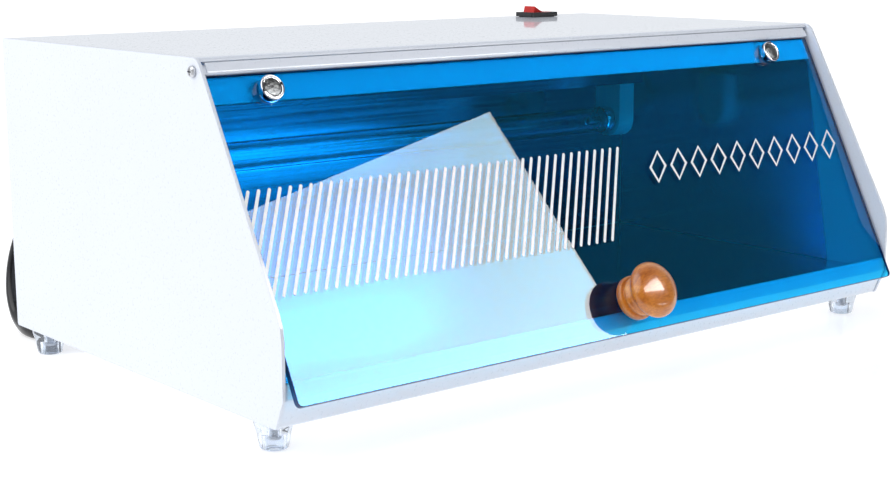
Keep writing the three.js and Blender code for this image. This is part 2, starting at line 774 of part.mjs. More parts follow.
// ---------------------------------------------------------------- build

sidePanels();
topCover();
backPanel();
base();
liner();
feet();
doorPanel();
hingeStrip();
doorCaps();
pivotScrews();
knob();
lampBatten();
lampholders();
uvTube();
controlGear();
rockerSwitch();
leads();
gland();
cord();
coil();
plug();

export default model;
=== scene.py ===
"""A salon UV sterilizer cabinet in white steel, with a blue acrylic door and a turned wooden knob."""
import json
import math

import bmesh
import bpy
from mathutils import Matrix, Vector


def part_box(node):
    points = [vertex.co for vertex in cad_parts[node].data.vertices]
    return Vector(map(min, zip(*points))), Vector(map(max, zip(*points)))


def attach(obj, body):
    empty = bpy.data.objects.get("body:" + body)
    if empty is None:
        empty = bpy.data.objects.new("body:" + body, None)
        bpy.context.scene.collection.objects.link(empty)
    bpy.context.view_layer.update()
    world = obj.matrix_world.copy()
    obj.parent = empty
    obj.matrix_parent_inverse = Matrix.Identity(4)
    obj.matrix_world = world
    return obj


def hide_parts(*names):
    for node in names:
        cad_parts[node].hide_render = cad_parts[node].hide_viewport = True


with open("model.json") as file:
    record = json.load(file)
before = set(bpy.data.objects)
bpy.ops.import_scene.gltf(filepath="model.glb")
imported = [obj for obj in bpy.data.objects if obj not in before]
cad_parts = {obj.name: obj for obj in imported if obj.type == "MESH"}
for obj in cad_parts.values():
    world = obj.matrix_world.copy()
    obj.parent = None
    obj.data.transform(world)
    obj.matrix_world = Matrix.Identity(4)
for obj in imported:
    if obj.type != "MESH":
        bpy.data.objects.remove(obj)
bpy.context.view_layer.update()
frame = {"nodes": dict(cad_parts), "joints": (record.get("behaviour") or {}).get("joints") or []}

NODES = frame["nodes"]
MM = 0.001

# ---------------------------------------------------------------- places, from the frame and given offsets

hinge = next(j for j in frame["joints"] if j["name"] == "door_hinge")
LEAN = math.atan2(64, 125.8)  # the door's face from the vertical
UP_DOOR = Vector((0, math.sin(LEAN), math.cos(LEAN)))
OUT = Vector((0, -math.cos(LEAN), math.sin(LEAN)))
PIVOT = (2.4, -1.3)  # the hinge's axis, up the door's face from its top and out of it
DOOR_TOP = Vector(hinge["pos_m"]) - UP_DOOR * PIVOT[0] * MM - OUT * PIVOT[1] * MM
DOOR_SPACE = Matrix.Translation(DOOR_TOP) @ Matrix(
    [[1, 0, 0, 0], [0, UP_DOOR.y, OUT.y, 0], [0, UP_DOOR.z, OUT.z, 0], [0, 0, 0, 1]]
)
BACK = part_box("side_panel_left")[1].y
KNOB_DOWN = 127.2 * MM
CAP_DOWN = 8.8 * MM


def centre(node):
    low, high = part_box(node)
    return (low + high) / 2


def on_door(x, down, out=0.0):
    """A point x along the door, down its face from the hinge strip and out of it, in metres."""
    return DOOR_SPACE @ Vector((x, -down, out))


# ---------------------------------------------------------------- camera

def add_camera():
    data = bpy.data.cameras.new("camera")
    data.lens = 64.56
    data.sensor_width = 36
    data.clip_start = 0.01
    data.clip_end = 60
    camera = bpy.data.objects.new("camera", data)
    yaw, pitch, roll = (math.radians(a) for a in (39.57, 10.97, -0.21))
    ahead = Vector(
        (math.sin(yaw) * math.cos(pitch), math.cos(yaw) * math.cos(pitch), -math.sin(pitch))
    )
    right = Vector((math.cos(yaw), -math.sin(yaw), 0))
    above = right.cross(ahead)
    right, above = (
        right * math.cos(roll) + above * math.sin(roll),
        above * math.cos(roll) - right * math.sin(roll),
    )
    place = Vector((-541.3, -759.9, 206.4)) * MM + Vector((0, BACK, 0))
    camera.matrix_world = Matrix.Translation(place) @ Matrix(
        [
            [right.x, above.x, -ahead.x, 0],
            [right.y, above.y, -ahead.y, 0],
            [right.z, above.z, -ahead.z, 0],
            [0, 0, 0, 1],
        ]
    )
    bpy.context.scene.collection.objects.link(camera)
    bpy.context.scene.camera = camera
    return camera


CAMERA = add_camera()


# ---------------------------------------------------------------- materials

class Shader:
    """One material's node tree, with short calls for the parts that many of them share."""

    def __init__(self, name, **values):
        self.material = bpy.data.materials.new(name)
        self.material.use_nodes = True
        self.tree = self.material.node_tree
        self.surface = self.tree.nodes["Principled BSDF"]
        for key, value in values.items():
            self.surface.inputs[key.replace("_", " ")].default_value = value
        self.place = self.tree.nodes.new("ShaderNodeTexCoord").outputs["Object"]

    def node(self, kind, **settings):
        made = self.tree.nodes.new(kind)
        for key, value in settings.items():
            setattr(made, key, value)
        return made

    def link(self, source, target):
        self.tree.links.new(source, target)

    def stretched(self, scale):
        mapping = self.node("ShaderNodeMapping")
        mapping.inputs["Scale"].default_value = scale
        self.link(self.place, mapping.inputs["Vector"])
        return mapping.outputs["Vector"]

    def noise(self, scale, detail=3.0, where=None, roughness=0.5):
        made = self.node("ShaderNodeTexNoise")
        made.inputs["Scale"].default_value = scale
        made.inputs["Detail"].default_value = detail
        made.inputs["Roughness"].default_value = roughness
        self.link(where or self.place, made.inputs["Vector"])
        return made.outputs["Fac"]

    def ramp(self, factor, *stops):
        made = self.node("ShaderNodeValToRGB")
        while len(made.color_ramp.elements) < len(stops):
            made.color_ramp.elements.new(0.5)
        for element, (position, colour) in zip(made.color_ramp.elements, stops):
            element.position = position
            element.color = (*colour, 1)
        self.link(factor, made.inputs["Fac"])
        return made.outputs["Color"]

    def span(self, factor, low, high, target):
        """Maps the middle of a factor, 0.3 to 0.7, to a range on one of the surface's inputs."""
        made = self.node("ShaderNodeMapRange")
        made.inputs["From Min"].default_value = 0.3
        made.inputs["From Max"].default_value = 0.7
        made.inputs["To Min"].default_value = low
        made.inputs["To Max"].default_value = high
        self.link(factor, made.inputs["Value"])
        self.link(made.outputs["Result"], self.surface.inputs[target])

    def bump(self, height, strength, distance, edge=0.0):
        made = self.node("ShaderNodeBump")
        made.inputs["Strength"].default_value = strength
        made.inputs["Distance"].default_value = distance
        self.link(height, made.inputs["Height"])
        if edge:
            soft = self.node("ShaderNodeBevel", samples=4)
            soft.inputs["Radius"].default_value = edge
            self.link(soft.outputs["Normal"], made.inputs["Normal"])
        self.link(made.outputs["Normal"], self.surface.inputs["Normal"])

    def colour(self, source):
        self.link(source, self.surface.inputs["Base Color"])


def white_paint():
    s = Shader("white_paint", Roughness=0.3, Coat_Weight=0.7, Coat_Roughness=0.04)
    s.colour(s.ramp(s.noise(14, 4), (0.3, (0.805, 0.85, 0.945)), (0.7, (0.815, 0.86, 0.955))))
    s.span(s.noise(700, 3), 0.26, 0.34, "Roughness")
    s.bump(s.noise(150, 2), 0.01, 0.0002, edge=0.0005)
    return s.material


def polished_sheet_shaded_blue():
    s = Shader("polished_sheet_shaded_blue", Metallic=1.0, Roughness=0.14)
    # The sheet's dim blue tone is painted shade. It stands in for the dim, blue-filtered light inside the
    # closed chamber. The polish and brushed lines are real.
    s.colour(s.ramp(s.noise(5, 3), (0.3, (0.47, 0.54, 0.70)), (0.7, (0.59, 0.66, 0.82))))
    lines = s.noise(1.0, 2, where=s.stretched((6, 900, 900)))
    s.span(lines, 0.10, 0.2, "Roughness")
    s.bump(lines, 0.05, 0.0003)
    return s.material


def blue_acrylic():
    s = Shader("blue_acrylic", Roughness=0.0, IOR=1.49, Transmission_Weight=1.0)
    s.colour(s.ramp(s.noise(3, 1), (0.3, (0.030, 0.61, 0.99)), (0.7, (0.035, 0.63, 1.0))))
    return s.material


def acrylic_edge_painted_dark():
    s = Shader("acrylic_edge_painted_dark", Roughness=0.28, IOR=1.49)
    # The edge faces are an opaque dark navy. This is painted shade for the dark line along the slab's edges.
    # The roughness and bump stand for the real sawn finish.
    s.colour(s.ramp(s.noise(250, 2), (0.3, (0.002, 0.035, 0.13)), (0.7, (0.004, 0.06, 0.20))))
    s.bump(s.noise(1200, 2), 0.1, 0.0002)
    return s.material


def door_ink():
    s = Shader("door_ink", Roughness=0.35)
    s.colour(s.ramp(s.noise(400, 2), (0.4, (0.86, 0.90, 0.93)), (0.6, (0.93, 0.95, 0.97))))
    return s.material


def chrome():
    s = Shader("chrome", Metallic=1.0, Roughness=0.06)
    s.colour(s.ramp(s.noise(300, 2), (0.3, (0.78, 0.78, 0.80)), (0.7, (0.88, 0.88, 0.89))))
    return s.material


def dark_shaded_cap_face():
    s = Shader("cap_face_painted_dark", Metallic=1.0, Roughness=0.28)
    # The face's dark colour is a painted reflection: it stands in for the dark surroundings that the plated
    # face mirrors. The noise adds real pitting as bumps and uneven tone.
    pits_and_painted_shade = s.noise(1400, 3)
    s.colour(s.ramp(pits_and_painted_shade, (0.38, (0.05, 0.05, 0.055)), (0.66, (0.30, 0.31, 0.31))))
    s.bump(pits_and_painted_shade, 0.5, 0.0004)
    return s.material


def plated_steel():
    s = Shader("plated_steel", Metallic=1.0, Roughness=0.3)
    s.colour(s.ramp(s.noise(250, 3), (0.3, (0.50, 0.51, 0.53)), (0.7, (0.72, 0.73, 0.75))))
    s.span(s.noise(600, 2), 0.22, 0.4, "Roughness")
    return s.material


def brass():
    s = Shader("brass", Metallic=1.0, Roughness=0.25)
    s.colour(s.ramp(s.noise(300, 2), (0.3, (0.66, 0.50, 0.24)), (0.7, (0.80, 0.64, 0.34))))
    return s.material


def turned_wood():
    """Fine wavy grain along the door under a thick clear lacquer."""
    s = Shader("turned_wood", Roughness=0.3, Coat_Weight=1.0, Coat_Roughness=0.05, Coat_IOR=1.5)
    grain = s.noise(1.0, 5, where=s.stretched((45, 260, 170)), roughness=0.65)
    colour = s.ramp(
        grain,
        (0.30, (0.44, 0.115, 0.012)),
        (0.48, (0.64, 0.20, 0.022)),
        (0.62, (0.74, 0.27, 0.035)),
        (0.78, (0.84, 0.40, 0.08)),
    )
    pores = s.ramp(
        s.noise(1.0, 3, where=s.stretched((300, 1700, 1100))), (0.40, (0.78, 0.68, 0.58)), (0.54, (1, 1, 1))
    )
    both = s.node("ShaderNodeMix", data_type="RGBA", blend_type="MULTIPLY")
    both.inputs["Factor"].default_value = 0.7
    s.link(colour, both.inputs["A"])
    s.link(pores, both.inputs["B"])
    s.colour(both.outputs["Result"])
    return s.material


def clear_rubber():
    s = Shader("clear_rubber", Roughness=0.05, IOR=1.42, Transmission_Weight=0.9)
    s.colour(s.ramp(s.noise(200, 3), (0.3, (0.80, 0.87, 0.96)), (0.7, (0.90, 0.94, 1.0))))
    s.bump(s.noise(400, 2), 0.1, 0.0004)
    return s.material


def moulded(name, dark, light, roughness, grain=700.0):
    s = Shader(name, Roughness=roughness)
    s.colour(s.ramp(s.noise(40, 3), (0.3, dark), (0.7, light)))
    s.span(s.noise(grain, 2), roughness * 0.85, roughness * 1.15, "Roughness")
    s.bump(s.noise(grain, 2), 0.12, 0.0003, edge=0.0003)
    return s.material


def quartz():
    s = Shader("quartz", Roughness=0.0, IOR=1.46, Transmission_Weight=1.0)
    s.colour(s.ramp(s.noise(30, 2), (0.3, (0.95, 0.975, 1.0)), (0.7, (1.0, 1.0, 1.0))))
    return s.material


WHITE = white_paint()
POLISHED = polished_sheet_shaded_blue()
ACRYLIC = blue_acrylic()
ACRYLIC_EDGE_PAINTED_DARK = acrylic_edge_painted_dark()
INK = door_ink()
CHROME = chrome()
CAP_FACE_PAINTED_DARK = dark_shaded_cap_face()
STEEL = plated_steel()
BRASS = brass()
WOOD = turned_wood()
CLEAR_RUBBER = clear_rubber()
BLACK = moulded("black_plastic", (0.012, 0.012, 0.014), (0.022, 0.022, 0.025), 0.4)
RED = moulded("red_plastic", (0.62, 0.012, 0.008), (0.74, 0.02, 0.012), 0.22)
CREAM = moulded("cream_plastic", (0.70, 0.68, 0.62), (0.78, 0.76, 0.70), 0.42)
SHEATH = moulded("black_pvc", (0.006, 0.006, 0.007), (0.014, 0.014, 0.016), 0.22, grain=300.0)
QUARTZ = quartz()

CAD_FINISH = {
    WHITE: ["side_panel_", "top_cover", "back_panel", "base_pan", "hinge_strip"],
    POLISHED: ["chamber_floor", "liner_", "lamp_batten"],
    STEEL: ["pivot_", "door_nut_", "knob_", "back_screw_", "foot_screw_", "ballast"],
    CREAM: ["starter", "terminal_block", "lampholder_"],
    BLACK: ["switch_body", "cord_tie"],
    BRASS: ["switch_terminal_", "plug_pin_"],
    SHEATH: ["supply_lead", "lamp_lead"],
}


def finish_cad_nodes():
    for material, starts in CAD_FINISH.items():
        for name, node in NODES.items():
            if any(name.startswith(start) for start in starts):
                node.data.materials.clear()
                node.data.materials.append(material)


# ---------------------------------------------------------------- mesh helpers

def add_piece(name, shape, body, slot, *materials, smooth=40.0):
    """Makes an object of a bmesh, shades it smooth up to an angle and lets it ride."""
    mesh = bpy.data.meshes.new(name)
    bmesh.ops.recalc_face_normals(shape, faces=shape.faces)
    shape.to_mesh(mesh)
    shape.free()
    for material in materials:
        mesh.materials.append(material)
    piece = bpy.data.objects.new(name, mesh)
    bpy.context.scene.collection.objects.link(piece)
    mesh.shade_smooth()
    mesh.set_sharp_from_angle(angle=math.radians(smooth))
    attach(piece, body)
    return piece


def turned(profile, segments=96, space=Matrix.Identity(4)):
    """Spins (radius, height) points, in metres, round Z. The ends lie on the axis or meet each other."""
    shape = bmesh.new()
    closed = profile[0] == profile[-1]
    points = profile[:-1] if closed else profile
    rows = []
    for radius, height in points:
        if radius < 1e-9:
            rows.append([shape.verts.new((0, 0, height))])
            continue
        ring = []
        for k in range(segments):
            angle = 2 * math.pi * k / segments
            ring.append(
                shape.verts.new((radius * math.cos(angle), radius * math.sin(angle), height))
            )
        rows.append(ring)
    pairs = list(zip(rows, rows[1:] + rows[:1] if closed else rows[1:]))
    for low, high in pairs:
        for k in range(segments):
            n = (k + 1) % segments
            corners = [low[k % len(low)], low[n % len(low)], high[n % len(high)], high[k % len(high)]]
            unique = list(dict.fromkeys(corners))
            if len(unique) > 2:
                shape.faces.new(unique)
    shape.transform(space)
    return shape


def arc(centre_r, centre_h, radius_r, radius_h, start, end, steps):
    """Points of an ellipse's arc in a turned profile, in millimetres and degrees."""
    return [
        (
            centre_r + radius_r * math.cos(math.radians(start + (end - start) * k / steps)),
            centre_h + radius_h * math.sin(math.radians(start + (end - start) * k / steps)),
        )
        for k in range(steps + 1)
    ]


def in_metres(points):
    return [tuple(value * MM for value in point) for point in points]


def add_box(shape, space, size):
    """Adds a plain box of the given size."""
    x, y, z = (value / 2 for value in size)
    corners = [(-x, -y), (x, -y), (x, y), (-x, y)]
    low = [shape.verts.new(space @ Vector((a, b, -z))) for a, b in corners]
    high = [shape.verts.new(space @ Vector((a, b, z))) for a, b in corners]
    shape.faces.new(low[::-1])
    shape.faces.new(high)
    for k in range(4):
        shape.faces.new([low[k], low[(k + 1) % 4], high[(k + 1) % 4], high[k]])


# ---------------------------------------------------------------- cord, with its coil and plug

CORD_R = 3 * MM
GLAND = centre("cord_gland")
EXIT = Vector((GLAND.x, BACK - 1.3 * MM, GLAND.z))
COIL = Vector((*centre("cord_coil").xy, 0))
COIL_MID = 36 * MM
COIL_LIFT = 1.2 * MM
PLUG_TURN = math.radians(30)
LYING = 3.15


def cord_route():
    """From inside the back panel down to the floor and under the cabinet's rear edge, in metres."""
    straight = [
        Vector((GLAND.x, EXIT.y + step * MM, GLAND.z)) for step in (0, 7, 13, 25)
    ]
    loose = [
        (-165.8, 169, 69),
        (-168, 180.2, 61.2),
        (-171.6, 187, 47.6),
        (-175.2, 189, 33),
        (-178.2, 185.8, 18.8),
        (-180.6, 176.8, 8.4),
        (-182.8, 164.5, 3.9),
        (-184.4, 152, LYING),
        (-181.8, 139.6, LYING),
        (-174.4, 130, LYING),
        (-163.5, 124.6, LYING),
        (-151.5, 124.6, LYING),
        (-140, 128.4, LYING),
        (-129.5, 133.6, LYING),
        (-119.5, 138, 3.5),
    ]
    return straight + [Vector(point) * MM for point in loose]


def coil_route():
    """Three turns beside each other and two high: each turn ends by moving into the next slot."""
    step = 2 * CORD_R
    low, high = COIL_LIFT + CORD_R, COIL_LIFT + CORD_R + step
    slots = [(COIL_MID + step, low), (COIL_MID, low), (COIL_MID - step, low)]
    slots += [(radius, high) for radius, _ in reversed(slots)]
    points = []
    start, leave = -90, -60
    sector, spacing = 50, 15  # degrees that a move takes, and between a turn's points
    last_change = None
    for turn, (here, there) in enumerate(zip(slots, slots[1:] + slots[-1:])):
        change = leave + sector * (len(slots) - 2 - turn)  # where this slot is left
        first = start if turn == 0 else last_change + sector - 360
        last = change if turn < len(slots) - 1 else leave
        last_change = change
        stops = [first + spacing * k for k in range(int((last - first) / spacing) + 1)]
        for angle in stops:
            points.append((angle, *here))
        if turn < len(slots) - 1:
            for share in (0.35, 0.65):
                smooth = share * share * (3 - 2 * share)
                points.append(
                    (
                        change + sector * share,
                        here[0] + (there[0] - here[0]) * smooth,
                        here[1] + (there[1] - here[1]) * smooth,
                    )
                )
    return [
        COIL + Vector((r * math.cos(math.radians(a)), r * math.sin(math.radians(a)), z))
        for a, r, z in points
    ]


PLUG_AWAY = Vector((math.cos(PLUG_TURN), math.sin(PLUG_TURN), 0))
PLUG_START = (
    COIL
    + Vector((PLUG_AWAY.y, -PLUG_AWAY.x, 0)) * (COIL_MID + 2 * CORD_R)
    + PLUG_AWAY * 25 * MM
    + Vector((0, 0, 7.2 * MM))
)
PLUG_SPACE = Matrix.Translation(PLUG_START) @ Matrix.Rotation(PLUG_TURN, 4, "Z")


def smooth_path(points, spacing):
    """A centripetal Catmull-Rom curve through the points, resampled at an even spacing."""
    ends = [points[0] * 2 - points[1], *points, points[-1] * 2 - points[-2]]
    fine = []
    for a, b, c, d in zip(ends, ends[1:], ends[2:], ends[3:]):
        knots = [0.0]
        for before, after in ((a, b), (b, c), (c, d)):
            knots.append(knots[-1] + max((after - before).length, 1e-9) ** 0.5)
        for k in range(12):
            t = knots[1] + (knots[2] - knots[1]) * k / 12
            one = [
                p + (q - p) * ((t - s) / (e - s))
                for p, q, s, e in zip((a, b, c), (b, c, d), knots, knots[1:])
            ]
            two = [
                p + (q - p) * ((t - s) / (e - s))
                for p, q, s, e in zip(one, one[1:], knots, knots[2:])
            ]
            fine.append(two[0] + (two[1] - two[0]) * ((t - knots[1]) / (knots[2] - knots[1])))
    fine.append(points[-1])
    even, walked = [fine[0]], 0.0
    for before, after in zip(fine, fine[1:]):
        length = (after - before).length
        while walked + length >= spacing:
            share = (spacing - walked) / length
            before = before.lerp(after, share)
            length = (after - before).length
            walked = 0.0
            even.append(before)
        walked += length
    even.append(points[-1])
    return even


def tube_along(path, radius, sides=20):
    shape = bmesh.new()
    rings = []
    side = Vector((0, 0, 1)).cross(path[1] - path[0])
    for k, point in enumerate(path):
        ahead = (path[min(k + 1, len(path) - 1)] - path[max(k - 1, 0)]).normalized()
        side = (side - ahead * side.dot(ahead)).normalized()
        other = ahead.cross(side)
        rings.append(
            [
                shape.verts.new(
                    point
                    + side * radius * math.cos(2 * math.pi * n / sides)
                    + other * radius * math.sin(2 * math.pi * n / sides)
                )
                for n in range(sides)
            ]
        )
    for low, high in zip(rings, rings[1:]):
        for n in range(sides):
            shape.faces.new([low[n], low[(n + 1) % sides], high[(n + 1) % sides], high[n]])
    shape.faces.new(rings[0][::-1])
    shape.faces.new(rings[-1])
    return shape


def add_plug():
    """A flat two-pin plug with a waisted body and a ribbed relief."""
    shape = bmesh.new()
    rows = []
    outline = [(24, 5.4, 5.2), (27, 6.6, 6.2), (33, 11.6, 6.8), (37, 12.7, 6.8), (44, 11.8, 6.5)]
    outline += [(51, 12.2, 6.6), (56, 12.7, 6.8), (59.2, 12.2, 6.5), (60, 11.2, 5.8)]
    sides = 48
    for along, wide, tall in outline:
        ring = []
        for k in range(sides):
            angle = 2 * math.pi * k / sides
            squared = 0.42  # between an ellipse and a box
            across = math.copysign(abs(math.cos(angle)) ** squared, math.cos(angle))
            up = math.copysign(abs(math.sin(angle)) ** squared, math.sin(angle))
            ring.append(shape.verts.new(Vector((along, wide * across, tall * up)) * MM))
        rows.append(ring)
    for low, high in zip(rows, rows[1:]):
        for k in range(sides):
            shape.faces.new([low[k], low[(k + 1) % sides], high[(k + 1) % sides], high[k]])
    shape.faces.new(rows[0][::-1])
    shape.faces.new(rows[-1])
    shape.transform(PLUG_SPACE)
    body = add_piece("plug_shell", shape, "cabinet", "black_plastic", BLACK, smooth=50)

    relief = [(3.15, 10), (3.15, 0.1), (3.8, 0.1), (4, 0.8)]
    for k in range(6):
        start = 2.4 + 3.6 * k
        size = 4.1 + 0.2 * k
        relief += [(size, start), (size, start + 1.9), (size - 0.9, start + 2.3), (size - 0.9, start + 3.2)]
    relief += [(5.4, 24.3), (5.4, 25), (0, 25), (0, 10)]
    along = PLUG_SPACE @ Matrix.Rotation(math.pi / 2, 4, "Y")
    grip = turned(in_metres(relief), 40, along)
    grip = add_piece("plug_relief", grip, "cabinet", "black_plastic", BLACK)
    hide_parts("plug_body")
    return [body, grip]


def add_gland():
    profile = [(3.3, -5), (6.4, -5), (6.4, -1.3), (4.9, -1.3), (4.9, 0.3), (7.2, 0.3), (7.2, 2.2)]
    profile += [(6.8, 2.7), (5.5, 3.2)]
    for k in range(7):
        start = 4.4 + 3.3 * k
        size = 5.4 - 0.18 * k
        profile += [(size, start), (size, start + 1.7), (size - 0.8, start + 2.1), (size - 0.8, start + 2.9)]
    profile += [(4.1, 27.6), (3.9, 28), (3.3, 28), (3.3, -5)]
    space = Matrix.Translation(EXIT) @ Matrix.Rotation(-math.pi / 2, 4, "X")
    piece = add_piece(
        "strain_relief", turned(in_metres(profile), 48, space), "cabinet", "black_plastic", BLACK
    )
    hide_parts("cord_gland")
    return piece


def add_cord():
    route = cord_route()
    coil = coil_route()
    into_plug = [PLUG_START - PLUG_AWAY * 12 * MM + Vector((0, 0, 1.2 * MM))]
    into_plug += [PLUG_START, PLUG_START + PLUG_AWAY * 9.6 * MM]
    path = smooth_path(route + coil + into_plug, 1.6 * MM)
    inside = Vector((EXIT.x, EXIT.y - 11.6 * MM, EXIT.z))
    inner_path = [inside + (EXIT - inside) * k / 6 for k in range(6)] + path[:1]
    piece = add_piece(
        "mains_lead", tube_along(path, CORD_R), "cabinet", "black_pvc", SHEATH, smooth=60
    )
    inner = tube_along(inner_path, CORD_R * 0.999)
    add_piece("mains_lead_inside", inner, "cabinet", "black_pvc", SHEATH, smooth=60)
    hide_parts("mains_cord", "cord_coil")
    plug = add_plug()
    gland = add_gland()


# ---------------------------------------------------------------- door

def stripe(shape, top, bottom, width, height=0.12 * MM, lift=0.06 * MM):
    """One printed bar on the door's face, with round ends, from (x, down) to (x, down)."""
    start, end = Vector((top[0], -top[1])), Vector((bottom[0], -bottom[1]))
    along = (end - start).normalized()
    across = Vector((-along.y, along.x)) * width / 2
    outline = []
    for middle, way in ((start, -1), (end, 1)):
        for k in range(9):
            angle = math.pi * k / 8
            outline.append(
                middle + way * (across * -math.cos(angle) + along * (width / 2) * math.sin(angle))
            )
    low = [shape.verts.new(DOOR_SPACE @ Vector((*p, lift))) for p in outline]
    high = [shape.verts.new(DOOR_SPACE @ Vector((*p, lift + height))) for p in outline]
    shape.faces.new(high)
    shape.faces.new(low[::-1])
    count = len(outline)
    for k in range(count):
        shape.faces.new([low[k], low[(k + 1) % count], high[(k + 1) % count], high[k]])


def loop_bar(shape, corners, width, height=0.12 * MM, lift=0.06 * MM):
    """A closed outline of the given width round the corners."""
    middle = sum((Vector(c) for c in corners), Vector((0, 0))) / len(corners)
    outer = [Vector(c) for c in corners]
    inner = [c + (middle - c).normalized() * width * 1.5 for c in outer]
    rows = []
    for ring in (outer, inner):
        for z in (lift, lift + height):
            rows.append([shape.verts.new(DOOR_SPACE @ Vector((p.x, -p.y, z))) for p in ring])
    outer_low, outer_high, inner_low, inner_high = rows
    count = len(corners)
    for k in range(count):
        n = (k + 1) % count
        shape.faces.new([outer_low[k], outer_low[n], outer_high[n], outer_high[k]])
        shape.faces.new([inner_low[n], inner_low[k], inner_high[k], inner_high[n]])
        shape.faces.new([outer_high[k], outer_high[n], inner_high[n], inner_high[k]])
        shape.faces.new([outer_low[n], outer_low[k], inner_low[k], inner_low[n]])


def add_acrylic():
    """The clear slab with sawn, slightly broken edges and a drilled hole for each stud."""
    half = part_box("door_panel")[1].x / MM
    top, bottom, thick, broken, corner = -0.6, -143.2, 3.0, 0.25, 2.5
    hole_r, hole_sides = 2, 32
    spots = [(centre(f"door_cap_{side}").x / MM, -CAP_DOWN / MM) for side in ("left", "right")]
    spots.append((0, -KNOB_DOWN / MM))

    def outline(inset):
        points = [(half - inset, top - inset), (-half + inset, top - inset)]
        for way, start in ((-1, 180), (1, 270)):
            middle = (way * (half - corner), bottom + corner)
            for k in range(9):
                angle = math.radians(start + 90 * k / 8)
                size = corner - inset
                points.append(
                    (middle[0] + size * math.cos(angle), middle[1] + size * math.sin(angle))
                )
        return points

    def hole(spot):
        angles = [2 * math.pi * k / hole_sides for k in range(hole_sides)]
        return [(spot[0] + hole_r * math.cos(a), spot[1] + hole_r * math.sin(a)) for a in angles]

    shape = bmesh.new()

    def wall(rings):
        """Joins the rings with faces and returns the first and last ring's edges."""
        rows = [
            [shape.verts.new(DOOR_SPACE @ (Vector((x, y, z)) * MM)) for x, y in points]
            for points, z in rings
        ]
        for low, high in zip(rows, rows[1:]):
            for k in range(len(low)):
                n = (k + 1) % len(low)
                shape.faces.new([low[k], low[n], high[n], high[k]]).material_index = 1
        return [
            [shape.edges.get((row[k], row[(k + 1) % len(row)])) for k in range(len(row))]
            for row in (rows[0], rows[-1])
        ]

    rim = [(outline(broken), 0), (outline(0), -broken), (outline(0), broken - thick)]
    loops = [wall(rim + [(outline(broken), -thick)])]
    loops += [wall([(hole(spot), 0), (hole(spot), -thick)]) for spot in spots]
    for side in (0, 1):
        edges = [edge for pair in loops for edge in pair[side]]
        filled = bmesh.ops.triangle_fill(shape, use_beauty=True, use_dissolve=False, edges=edges)
        for face in filled["geom"]:
            if isinstance(face, bmesh.types.BMFace):
                face.material_index = 0
    sheet = add_piece(
        "acrylic_sheet", shape, "door", "blue_acrylic", ACRYLIC, ACRYLIC_EDGE_PAINTED_DARK, smooth=30
    )
    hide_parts("door_panel")


def add_print():
    """A block of slanted bars on the left of the door, and a row of outlined lozenges on the right."""
    shape = bmesh.new()
    last, pitch, count, edge, bar_width = 22.8, 5.23, 42, 195.0, 1.5
    high, low, slant = 52.2, 97.2, -0.518
    for k in range(count):
        x = last - pitch * k
        shown = min(1, (x + edge) / (slant * (high - low)))
        end = (x + slant * (low - high) * shown, high + (low - high) * shown)
        stripe(shape, (x * MM, high * MM), (end[0] * MM, end[1] * MM), bar_width * MM)
    first, spacing, down, line_width = 40, 15.2, 55.7, 1.1
    tall, wide, lean = 17.0, 12.5, 3.2
    for k in range(10):
        x = first + k * spacing
        corners = [
            (x + lean + wide / 2, down),
            (x + wide, down + tall / 2),
            (x - lean + wide / 2, down + tall),
            (x, down + tall / 2),
        ]
        loop_bar(shape, [(a * MM, b * MM) for a, b in corners], line_width * MM)
    add_piece("door_print", shape, "door", "white_paint", INK, smooth=20)


def add_knob():
    """A turned mushroom knob: foot, bead and neck under a wide, shallow head."""
    head_r, rim, crown, under = 13.57, 14.8, 6.72, 5.5
    profile = [(0, 12), (1.8, 12), (1.8, 0.3), (10.2, 0.3), (10.6, 0.5), (10.85, 1.0), (10.9, 1.6)]
    profile += [(10.9, 2.6), (10.7, 3.2), (10.3, 3.65), (9.6, 3.8), (8.9, 4.0), (8.7, 4.3)]
    profile += [(8.9, 4.6), (9.5, 4.9), (9.8, 5.5), (9.75, 6.1), (9.4, 6.6), (8.9, 7.0), (8.5, 7.6)]
    profile += [(8.3, 8.3), (8.3, 9.0), (8.45, 9.7), (8.7, 10.3)]
    profile += arc(0, rim, head_r, under, -48, 0, 16)[:-1]
    profile += arc(0, rim, head_r, crown, 0, 88, 28)
    profile += [(0, rim + crown)]
    space = Matrix.Translation(on_door(0, KNOB_DOWN)) @ DOOR_SPACE.to_3x3().to_4x4()
    piece = add_piece(
        "wooden_knob", turned(in_metres(profile), 128, space), "door", "turned_wood", WOOD, smooth=50
    )
    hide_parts("knob")


def add_caps():
    for side in ("left", "right"):
        x = centre(f"door_cap_{side}").x
        space = Matrix.Translation(on_door(x, CAP_DOWN)) @ DOOR_SPACE.to_3x3().to_4x4()
        profile = [(0, -8.4), (1.5, -8.4), (1.5, 0.3), (5.5, 0.3), (5.74, 0.6)]
        profile += arc(5.1, 3.6, 0.65, 0.75, 0, 150, 10)
        profile += [(4.4, 3.75), (4.3, 3.9)]
        shell = turned(in_metres(profile + [(0, 3.9)]), 64, space)
        cap = add_piece(f"cap_{side}", shell, "door", "chrome", CHROME)
        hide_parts(f"door_cap_{side}")
        dish = arc(0, 3.95, 4.2, 0.45, 0, 90, 8)
        face = turned(in_metres([(0, 3.93), *dish[:-1], (0, 4.4)]), 64, space)
        add_piece(f"cap_face_{side}", face, "door", "chrome", CAP_FACE_PAINTED_DARK)


# ---------------------------------------------------------------- feet, lamp and switch

